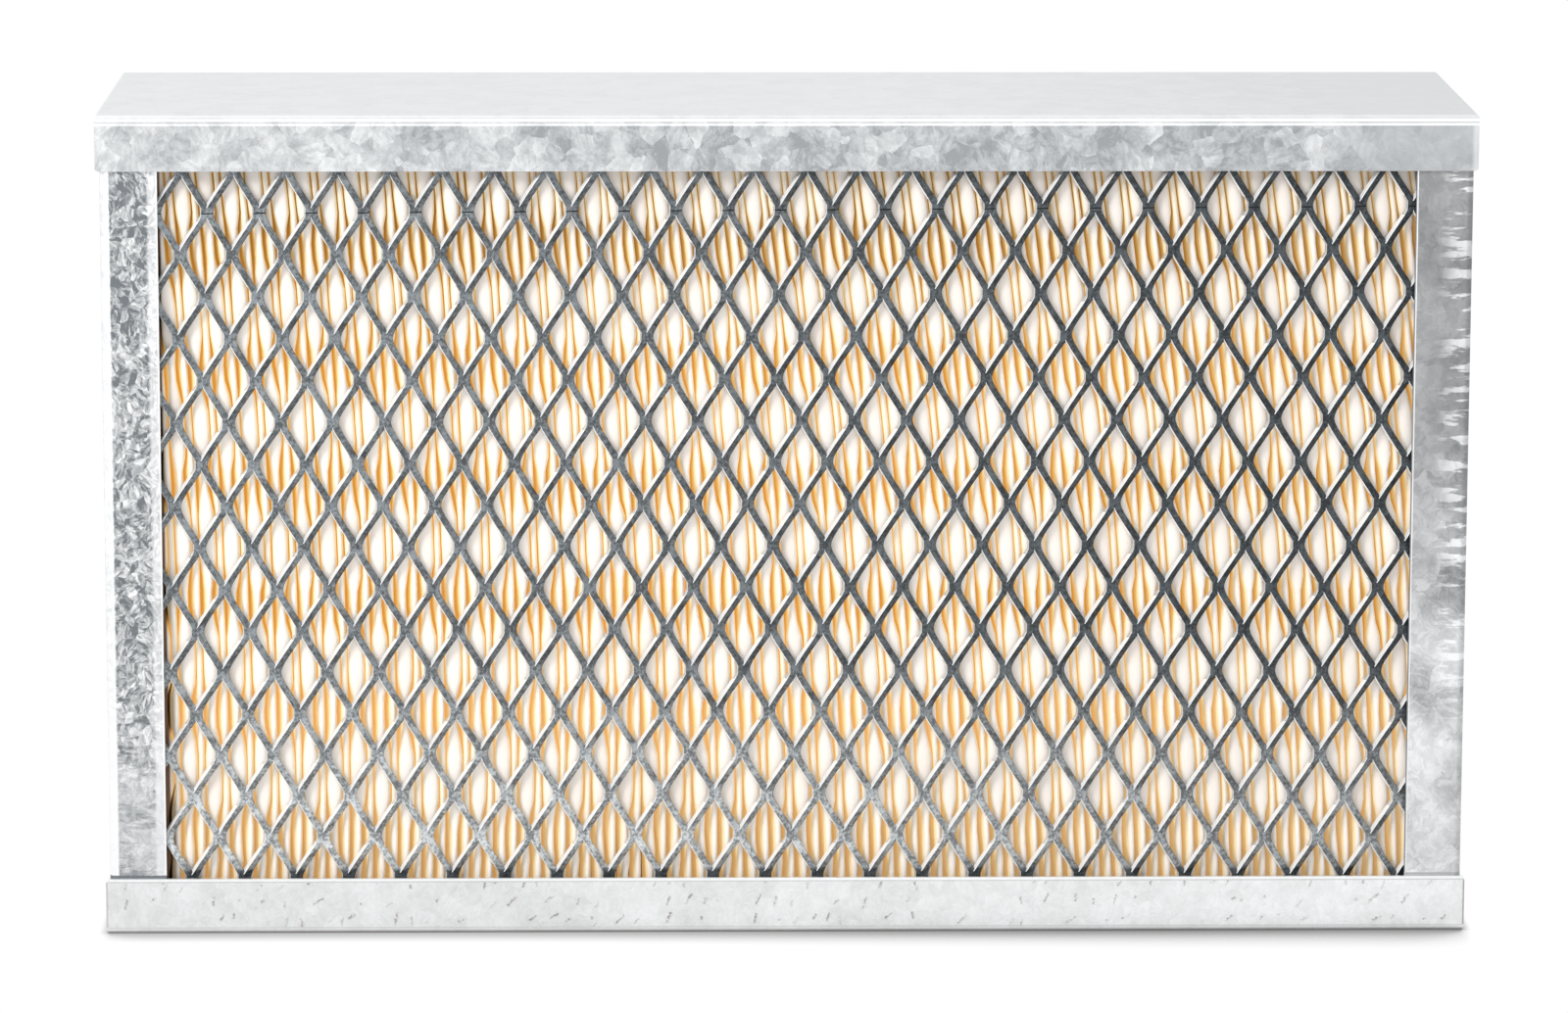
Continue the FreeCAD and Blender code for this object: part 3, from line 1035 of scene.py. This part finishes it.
@dataclass
class PleatedMedia:
    """One sheet of paper, folded to and fro and embossed so that the folds stay apart."""

    count: int = 111
    stations: int = 52
    emboss_pitch: float = 29.0
    emboss_first: float = 24.0
    crest: float = 0.66
    blister: float = 1.95
    wander: float = 0.9
    seed: float = 4.0

    # Points of a crest from its left flank to its right one: share of the crest's half width, lean
    # of the flank, and depth below the crest
    CREST = (
        (-1.0, -1.45, 4.6), (-1.0, -1.0, 2.9), (-0.95, -0.55, 1.5), (-0.8, -0.16, 0.5), (-0.5, 0.0, 0.12),
        (0.05, 0.0, 0.0), (0.6, 0.0, 0.1), (0.85, 0.0, 0.4), (0.97, 0.0, 1.1), (1.0, 0.0, 2.6),
    )
    # Points of a rear crest, outwards: inset, depth below it, and share of the front crest's half width
    REAR_CREST = ((0.3, 0.06, -0.35), (0.43, 0.7, -0.42))
    REAR_FOLD = 0.9
    INNER_DEPTH = 4.8
    # Faces on the left and right flanks, stored as facing, which the paper's finish uses for its painted shade and
    # glow
    FACES_LEFT = range(5)
    FACES_RIGHT = range(7, 11)
    WELD = 0.002
    # Where the folds start to lean, next to the channels
    LEAN_RIGHT = (163.0, 146.0)
    LEAN_LEFT = (-163.0, -150.0)
    LEAN_TOP = (88.0, 112.0)

    def _fold(self) -> Mesh:
        """Make one fold, from valley to valley, with marks for how each point may move.

        Returns:
            The mesh, which stores what the finish and the row need.
        """
        half = PAPER_HALF_WIDTH / self.count
        outline = [(-half, PAPER_REAR - self.REAR_FOLD, 0.0, 0.5, 0.0)]
        outline += [(0.0, PAPER_FRONT + y, share, 1.0, flank * MM) for share, flank, y in self.CREST]
        back = [(half, 0.0, 0.0), *((half - x, y, share) for x, y, share in self.REAR_CREST)]
        outline += [(half, PAPER_REAR - self.REAR_FOLD, 0.0, 0.5, 0.0)]
        outline += [(x, PAPER_REAR - y, share, 0.5, 0.0) for x, y, share in back]
        outline += [(-0.2, PAPER_FRONT + self.INNER_DEPTH, 0.0, 1.0, 0.0)]
        outline += [(-x, PAPER_REAR - y, -share, 0.5, 0.0) for x, y, share in reversed(back)]
        n = len(outline)
        heights = np.linspace(PAPER_LOW, PAPER_HIGH, self.stations)
        points = np.array([(x, y, z) for z in heights for x, y, *_ in outline])
        faces, facing = [], []
        for row in range(self.stations - 1):
            for i in range(n):
                start, end = outline[i][0], outline[(i + 1) % n][0]
                if start == end and abs(start) == half:
                    continue
                faces.append(ring_side(row, i, n))
                facing.append(-1.0 if i in self.FACES_LEFT else (1.0 if i in self.FACES_RIGHT else 0.0))
        mesh = mesh_of("fold", points * MM, faces + ring_ends(self.stations, n))
        store(mesh, "facing", "FACE", facing + [0.0, 0.0])
        for name, column in (("spread", 2), ("outer", 3), ("flank", 4)):
            store(mesh, name, "POINT", [point[column] for _ in heights for point in outline])
        return mesh

    def build(self, material: Material) -> Object:
        """Make the paper pack.

        Args:
            material: Its material.

        Returns:
            The finished piece.
        """
        rows = RowModifier("pleat_rows", ("Crest", "Blister", "Emboss Pitch", "Emboss First", "Wander", "Seed"))
        t, into = rows.tree, rows.into
        moved = t.add("GeometryNodeSetPosition", {"Geometry": rows.copies, "Offset": self._offset(t, into)})
        inputs = {"Geometry": moved.outputs[0], "Distance": self.WELD * MM}
        rows.finish(t.add("GeometryNodeMergeByDistance", inputs).outputs[0])
        pitch = 2 * PAPER_HALF_WIDTH / self.count
        lengths = {
            "Pitch": pitch, "First": pitch / 2 - PAPER_HALF_WIDTH, "Crest": self.crest, "Blister": self.blister,
            "Emboss Pitch": self.emboss_pitch, "Emboss First": self.emboss_first, "Wander": self.wander,
        }
        values = {"Count": self.count, "Seed": self.seed, "Material": material}
        piece = rows.apply(self._fold(), "pleated_paper", lengths, values)
        self._close(piece.data)
        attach(piece, "root")
        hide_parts("pleated_media")
        LOG.info("pleated_paper has %d faces", len(piece.data.polygons))
        return piece

    def _lean(self, t: Tree, x: Socket, z: Socket) -> Socket:
        """Find how far the crests lean to the right and bow towards the bottom.

        Args:
            t: Filler of the tree.
            x: Place across.
            z: Place up.

        Returns:
            A distance across.
        """
        right = t.math("MAXIMUM", t.ramp(x, self.LEAN_RIGHT), t.ramp(z, self.LEAN_TOP))
        reach = t.times(t.ramp(x, self.LEAN_LEFT), right)
        below = t.minus(0.1, z)
        slant = t.times(below, t.ramp(x, (-70.0, 30.0), 0.036, 0.092))
        return t.times(t.minus(slant, t.times(below, below, 0.31)), reach)

    def _offset(self, t: Tree, into: Any) -> Socket:
        """Add the fields that widen, bend and sink the crests.

        Args:
            t: Filler of the tree.
            into: The tree's inputs.

        Returns:
            The offset of each point.
        """
        place = t.add("GeometryNodeInputPosition").outputs[0]
        x, _, z = t.split(place)
        seeded = t.vector("ADD", place, t.combine(0.0, into["Seed"]))
        flat = t.vector("MULTIPLY", seeded, (1.0, 0.0, 1.0))
        warp, bend, fine = (t.minus(t.noise(flat, scale, 1.0), 0.5) for scale in (30.0, 22.0, 90.0))
        risen = t.minus(t.plus(z, t.times(warp, 0.012)), into["Emboss First"])
        wave = t.math("COSINE", t.times(t.math("DIVIDE", risen, into["Emboss Pitch"]), math.tau))
        closed = t.times(t.span(wave, 1.0, -0.5), t.ramp(z, (12.0, 24.0)))
        spread, outer, flank = t.stored("spread"), t.stored("outer"), t.stored("flank")
        odd = t.math("MODULO", t.stored("copy"), 2.0)
        grow = t.times(closed, odd, t.minus(into["Blister"], into["Crest"]))
        half_width = t.plus(into["Crest"], grow, t.times(closed, 0.1 * MM), t.times(fine, 0.4 * MM))
        sideways = t.plus(t.times(spread, half_width), t.times(flank, t.minus(1.0, closed)))
        shift = t.times(t.plus(t.times(bend, into["Wander"]), self._lean(t, x, z)), outer)
        front = t.math("GREATER_THAN", outer, 0.9)
        sink = t.times(t.minus(1.0, odd), closed, front, 0.3 * MM)
        return t.combine(t.plus(sideways, shift), sink)

    @staticmethod
    def _close(mesh: Mesh) -> None:
        """Close the two ends of the paper and let light run smoothly over the crests.

        Args:
            mesh: The paper's mesh.
        """
        work = bmesh.new()
        work.from_mesh(mesh)
        bmesh.ops.holes_fill(work, edges=[e for e in work.edges if len(e.link_faces) == 1], sides=0)
        work.to_mesh(mesh)
        work.free()
        mesh.shade_smooth()


@dataclass
class PackedPieces:
    """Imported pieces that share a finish. They keep their own meshes."""

    names: tuple[str, ...]
    finish: Finish

    def dress(self, nodes: dict[str, Object], effects: Effects) -> None:
        """Give each piece the finish on all its faces.

        Args:
            nodes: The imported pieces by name.
            effects: The shared shader groups.
        """
        material = self.finish.build(effects)
        for name in self.names:
            piece = nodes[name]
            for slot in piece.material_slots:
                slot.material = material
            if not piece.material_slots:
                piece.data.materials.append(material)
            LOG.info("%s is dressed as %s", name, self.finish.name)


@dataclass
class Studio:
    """Floor, background, light and camera of the photograph."""

    camera_x: float = -33.2
    camera_distance: float = 1675.9
    camera_height: float = 400.2
    pitch: float = 10.23
    yaw: float = 1.14
    roll: float = 0.11
    lens: float = 156.6
    aim_height: float = 100.0

    FLOOR_REACH = 6000.0
    FLOOR_LEVEL = -0.05
    SIDE_LIGHT = 0.52
    FLOOR_WHITE = 0.9
    # The shadow below the front grows to the right, and beside the filter there is hardly any
    BESIDE = (165.5, 169.0)
    SHADOW_REACH = (13.0, 28.0)
    SHADOW_REACH_BESIDE = 4.0
    DARKEST = (0.52, 0.3)
    DARKEST_BESIDE = 0.93

    def build(self) -> None:
        """Build everything around the filter."""
        self._world()
        self._floor()
        self._lamp("key", (-950, -1000, 950), 500, 14.0)
        self._lamp("fill", (200, -2000, 60), 1200, 9.0)
        self._camera()

    def _world(self) -> None:
        """Make an even white surrounding, which lights the filter less than it shows."""
        world = bpy.data.worlds.new("studio")
        world.use_nodes = True
        t = Tree(world.node_tree)
        back = next(n for n in world.node_tree.nodes if n.type == "BACKGROUND")
        t.put(back, "Strength", t.span(t.seen(), 0.0, 1.0, self.SIDE_LIGHT, 1.0))
        t.put(back, "Color", (1.0, 1.0, 1.0, 1.0))
        bpy.context.scene.world = world

    def _floor(self) -> None:
        """Lay the white floor, which keeps the soft shadow close to the filter."""
        reach, level = self.FLOOR_REACH * MM, self.FLOOR_LEVEL * MM
        points = [(-reach, -reach, level), (reach, -reach, level), (reach, reach, level), (-reach, reach, level)]
        floor = bpy.data.objects.new("floor", mesh_of("floor", points, [(0, 1, 2, 3)]))
        bpy.context.scene.collection.objects.link(floor)
        material = bpy.data.materials.new("white_floor")
        material.use_nodes = True
        t = Tree(material.node_tree)
        t.tree.nodes.clear()
        x = t.split(t.add("ShaderNodeTexCoord").outputs["Object"])[0]
        beside = t.ramp(t.size(x), self.BESIDE)
        below = t.ramp(x, (-100.0, 150.0), self.SHADOW_REACH[0] * MM, self.SHADOW_REACH[1] * MM)
        distance = t.mix_value(beside, below, self.SHADOW_REACH_BESIDE * MM)
        near = t.add("ShaderNodeAmbientOcclusion", {"Distance": distance}, samples=16)
        darkest = t.mix_value(beside, t.ramp(x, (-100.0, 100.0), *self.DARKEST), self.DARKEST_BESIDE)
        shadow = t.span(near.outputs["AO"], 0.42, 0.97, darkest, 1.02)
        matt = t.add("ShaderNodeBsdfDiffuse", {"Color": (self.FLOOR_WHITE,) * 3 + (1.0,)})
        white = t.add("ShaderNodeEmission", {"Color": (1.0, 1.0, 1.0, 1.0), "Strength": shadow})
        mixed = t.add("ShaderNodeMixShader", {0: t.seen(), 1: matt.outputs[0], 2: white.outputs[0]})
        out = t.add("ShaderNodeOutputMaterial", {"Surface": mixed.outputs[0]})
        out.is_active_output = True
        floor.data.materials.append(material)

    def _lamp(self, name: str, place: tuple[float, float, float], size: float, power: float) -> None:
        """Hang one soft lamp that points at the filter.

        Args:
            name: Name of the lamp.
            place: Where it hangs, in millimetres.
            size: Side of its square in millimetres.
            power: Power in watts.
        """
        data = bpy.data.lights.new(name, "AREA")
        data.size = size * MM
        data.energy = power
        lamp = bpy.data.objects.new(name, data)
        lamp.location = Vector(place) * MM
        aim = Vector((0.0, 0.0, self.aim_height * MM)) - lamp.location
        lamp.rotation_euler = aim.to_track_quat("-Z", "Y").to_euler()
        bpy.context.scene.collection.objects.link(lamp)

    def _camera(self) -> None:
        """Set the camera where the photograph was taken from."""
        data = bpy.data.cameras.new("camera")
        data.lens = self.lens
        data.sensor_width = 36.0
        data.clip_end = 50.0
        camera = bpy.data.objects.new("camera", data)
        turn = Matrix.Identity(3)
        for degrees, axis in ((-self.yaw, "Z"), (90 - self.pitch, "X"), (self.roll, "Z")):
            turn = turn @ Matrix.Rotation(math.radians(degrees), 3, axis)
        camera.matrix_world = turn.to_4x4()
        camera.location = Vector((self.camera_x, -self.camera_distance, self.camera_height)) * MM
        bpy.context.scene.collection.objects.link(camera)
        bpy.context.scene.camera = camera


def zinc_finishes() -> dict[str, GalvanisedSheet]:
    """Choose the finish of each folded piece.

    Returns:
        The finishes by the name of the piece.
    """
    across, up = Axis.ACROSS, Axis.UP
    top = GalvanisedSheet(
        "zinc_top", linear(150, 153, 156), linear(232, 234, 235), level=0.44, crystal=4.6, patch=0.34, feather=0.2,
        cloud=0.3, shard=0.12, grain=0.6, cloud_size=12.0, warp=0.4, drift=-0.2, plain_from=125.0,
        zones=(
            Zone(across, (164.6, 165.7), 0.55, 0.7, lip_only=True),
            # Bands up the top bend: painted highlights with thin painted dark reflections between them, then the
            # web on top, which darkens to the right
            Zone(up, (199.1, 199.3), 0.85, 0.6),
            Zone(up, (199.75, 199.9), 0.42, 0.5),
            Zone(up, (200.1, 200.3), 0.96, 0.3),
            Zone(up, (200.9, 201.0), 0.4, 0.3),
            Zone(up, (201.15, 201.25), 1.0, 0.3),
            Zone(up, (201.75, 201.95), 0.97, 0.2, drift=-0.18),
        ),
    )
    bottom = GalvanisedSheet(
        "zinc_bottom", linear(128, 122, 118), linear(238, 240, 241), level=0.78, crystal=3.4, patch=0.08,
        feather=0.08, cloud=0.1, grain=0.2, warp=0.7, scratch=0.6, drift=0.09, drift_over=(30.0, 130.0),
        zones=(
            Zone(across, (-165.9, -166.3), 0.45, 0.4, lip_only=True),
            Zone(across, (165.9, 166.3), 0.25, 0.4, lip_only=True),
            Zone(up, (12.75, 12.9), 0.6, 0.5),
            Zone(up, (13.1, 13.25), 0.98, 0.3),
            Zone(up, (1.75, 1.65), 0.6, 0.5),
            Zone(up, (1.5, 1.4), 0.74, 0.5),
            # Painted shade: darker along the lower bend and the underside
            Zone(up, (0.9, 0.5), 0.2, 0.3),
        ),
    )
    left = GalvanisedSheet(
        "zinc_left", linear(112, 117, 121), linear(244, 245, 246), level=0.51, crystal=3.1, patch=0.34,
        feather=0.46, cloud=0.26, shard=0.42, grain=0.5, warp=0.35, calm=0.4, cloud_size=24.0, rise=-0.22,
        fade_over=(30.0, 58.0), fade=(0.35, 1.0), streak=-0.22, streak_zone=Zone(up, (64.0, 40.0), lip_only=True),
        zones=(
            Zone(across, (-154.6, -153.6), 0.72, 0.5),
            # Painted highlights: on the outer bend, and in a thin line along the inner edge of the lip
            Zone(across, (-163.0, -163.6), 1.0, 0.3, lip_only=True),
            Zone(across, (-152.15, -152.0), 1.0, 0.2, lip_only=True),
            # Painted shadow: a dark line where the channel meets the bottom cap
            Zone(up, (14.7, 14.4), 0.0, 0.2),
        ),
    )
    right = GalvanisedSheet(
        "zinc_right", linear(128, 130, 132), linear(236, 237, 238), level=0.64, crystal=5.0, patch=0.14,
        feather=0.14, cloud=0.26, grain=0.2, calm=0.6, cloud_size=16.0, rise=-0.5, fade_over=(50.0, 150.0),
        fade=(1.5, 0.6), streak=0.6, streak_zone=Zone(across, (156.0, 163.5), lip_only=True, above=30.0),
        zones=(
            # A thin painted highlight near the inner edge of the lip, and a thin painted shadow right at that edge
            Zone(across, (152.3, 152.15), 0.9, 0.2, lip_only=True),
            Zone(across, (151.97, 151.9), 0.05, 0.1, lip_only=True),
            # Painted shadow: a darker line where the channel meets the bottom cap
            Zone(up, (14.7, 14.4), 0.3, 0.2),
        ),
    )
    return {"top_cap": top, "bottom_cap": bottom, "left_side_channel": left, "right_side_channel": right}


def screens() -> tuple[ExpandedScreen, ExpandedScreen]:
    """Set out the fine front screen, as it was pulled, and the coarse rear screen.

    Returns:
        The two screens.
    """
    front = ExpandedScreen(
        "front_mesh", "front_screen", Side.INLET, 12.7, 20.57, -1.1, 96.3, -45.7, (-25, 24), rise=(2.3, 33.0),
        fall=(2.02, 15.0), bond=1.0, lean=0.021, pull_across=(-0.26, 1.0, 0.45, 1.17),
        pull_down=(-0.05, 0.41, 0.6),
    )
    rear = ExpandedScreen(
        "rear_mesh", "rear_screen", Side.OUTLET, 25.4, 41.0, 6.35, 6.5, 39.7, (-13, 11), rise=(2.7, 30.0),
        fall=(2.7, 22.0), bond=1.2, overlap=1.4, roundness=1.6,
    )
    return front, rear


def main() -> None:
    """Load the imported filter, dress it and set up the studio."""
    logging.basicConfig(level=logging.INFO, format="%(message)s")
    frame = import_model()
    nodes = frame["nodes"]
    effects = Effects()
    for name, finish in zinc_finishes().items():
        PackedPieces((name,), finish).dress(nodes, effects)
    sealant = CastSealant("dark_sealant", linear(52, 49, 46))
    PackedPieces(("top_sealant_bed", "bottom_sealant_bed"), sealant).dress(nodes, effects)
    glue = CastSealant("amber_glue", linear(196, 146, 84))
    PackedPieces(("left_glue_strip", "right_glue_strip"), glue).dress(nodes, effects)
    foam = CellFoam("gasket_foam", linear(34, 34, 36))
    PackedPieces(("gasket_top", "gasket_bottom", "gasket_left", "gasket_right"), foam).dress(nodes, effects)
    metal = SlitMetal(
        "slit_metal", linear(70, 76, 80), linear(130, 136, 140), linear(184, 188, 190), linear(252, 252, 252)
    ).build(effects)
    for screen in screens():
        screen.build(metal)
    # The paper's cream tones are its own; the shoulder, fold and deep colours and the glow are painted light, and
    # the dark brown next to the channels is painted shade
    paper = FilterPaper(
        "filter_paper", crest=linear(252, 245, 237), shade=linear(249, 238, 228), shoulder=linear(248, 228, 188),
        fold=linear(238, 220, 164), deep=linear(216, 176, 84), edge_shade=linear(120, 92, 70), glow=0.33,
    ).build(effects)
    PleatedMedia().build(paper)
    Studio().build()
    bpy.context.scene.view_settings.view_transform = "Standard"


if __name__ == "__main__":
    main()
